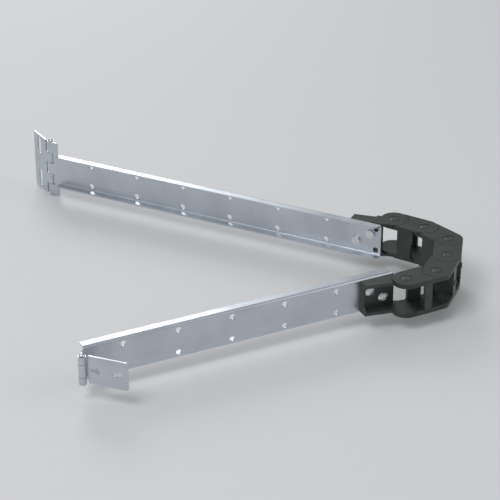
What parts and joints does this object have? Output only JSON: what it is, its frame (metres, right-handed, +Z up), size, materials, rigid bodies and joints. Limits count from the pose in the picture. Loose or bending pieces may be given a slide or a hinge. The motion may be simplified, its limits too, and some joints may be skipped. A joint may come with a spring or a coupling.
{
  "type": "server cable management arm",
  "caption": "Folding cable management arm: two slotted-leaf hinged steel channels joined at their far ends by a short plastic energy chain, carrying cables from rack to sliding server.",
  "frame": {"origin": "centre of the rack leaf's slot pattern, on the face that bolts to the rack", "axes": "+X out of the rack leaf's outer face towards the hinge barrel, +Y along the rack leaf from its pin to its free edge, +Z up along the hinge pins"},
  "size_m": [0.3896, 0.4379, 0.0604],
  "materials": {
    "zinc_steel": "satin zinc plate",
    "pin_steel": "bright",
    "screw_steel": "bright zinc",
    "chain_plastic": "satin moulded",
    "crossbar_plastic": "satin moulded"
  },
  "bodies": {
    "rack_leaf": {"rear_mount_leaf": "zinc_steel", "rear_hinge_pin": "pin_steel"},
    "rear_arm": {"rear_arm_channel": "zinc_steel", "rear_chain_bracket": "chain_plastic", "rear_screw_near": "screw_steel", "rear_screw_far": "screw_steel", "rear_nut_near": "screw_steel", "rear_nut_far": "screw_steel"},
    "link_1": {"chain_link_1": "chain_plastic", "chain_crossbar_1": "crossbar_plastic"},
    "link_2": {"chain_link_2": "chain_plastic", "chain_crossbar_2": "crossbar_plastic"},
    "link_3": {"chain_link_3": "chain_plastic", "chain_crossbar_3": "crossbar_plastic"},
    "link_4": {"chain_link_4": "chain_plastic", "chain_crossbar_4": "crossbar_plastic"},
    "link_5": {"chain_link_5": "chain_plastic", "chain_crossbar_5": "crossbar_plastic"},
    "front_arm": {"front_arm_channel": "zinc_steel", "front_chain_bracket": "chain_plastic", "front_screw_near": "screw_steel", "front_screw_far": "screw_steel", "front_nut_near": "screw_steel", "front_nut_far": "screw_steel", "front_hinge_pin": "pin_steel"},
    "server_leaf": {"front_mount_leaf": "zinc_steel"}
  },
  "joints": [
    {"name": "rear_hinge", "type": "hinge", "parent": "rack_leaf", "child": "rear_arm", "pos_m": [0.00337, -0.0188, 0], "axis": [0, 0, 1], "range_deg": [-32, 120]},
    {"name": "chain_pivot_1", "type": "hinge", "parent": "rear_arm", "child": "link_1", "pos_m": [0.20463, -0.31492, 0.0008], "axis": [0, 0, -1], "range_deg": [-4.8, 12.9]},
    {"name": "chain_pivot_2", "type": "hinge", "parent": "link_1", "child": "link_2", "pos_m": [0.21875, -0.34229, 0.0008], "axis": [0, 0, -1], "range_deg": [-18.1, 12.9]},
    {"name": "chain_pivot_3", "type": "hinge", "parent": "link_2", "child": "link_3", "pos_m": [0.22368, -0.3727, 0.0008], "axis": [0, 0, -1], "range_deg": [-49.4, 0]},
    {"name": "chain_pivot_4", "type": "hinge", "parent": "link_3", "child": "link_4", "pos_m": [0.2038, -0.39622, 0.0008], "axis": [0, 0, -1], "range_deg": [-13.3, 12.9]},
    {"name": "chain_pivot_5", "type": "hinge", "parent": "link_4", "child": "link_5", "pos_m": [0.17904, -0.41454, 0.0008], "axis": [0, 0, -1], "range_deg": [-41, 7]},
    {"name": "chain_pivot_6", "type": "hinge", "parent": "link_5", "child": "front_arm", "pos_m": [0.14833, -0.41213, 0.0008], "axis": [0, 0, -1], "range_deg": [-1.5, 6]},
    {"name": "front_hinge", "type": "hinge", "parent": "front_arm", "child": "server_leaf", "pos_m": [-0.14992, -0.37213, 0], "axis": [0, 0, 1], "range_deg": [-130, 40]}
  ]
}
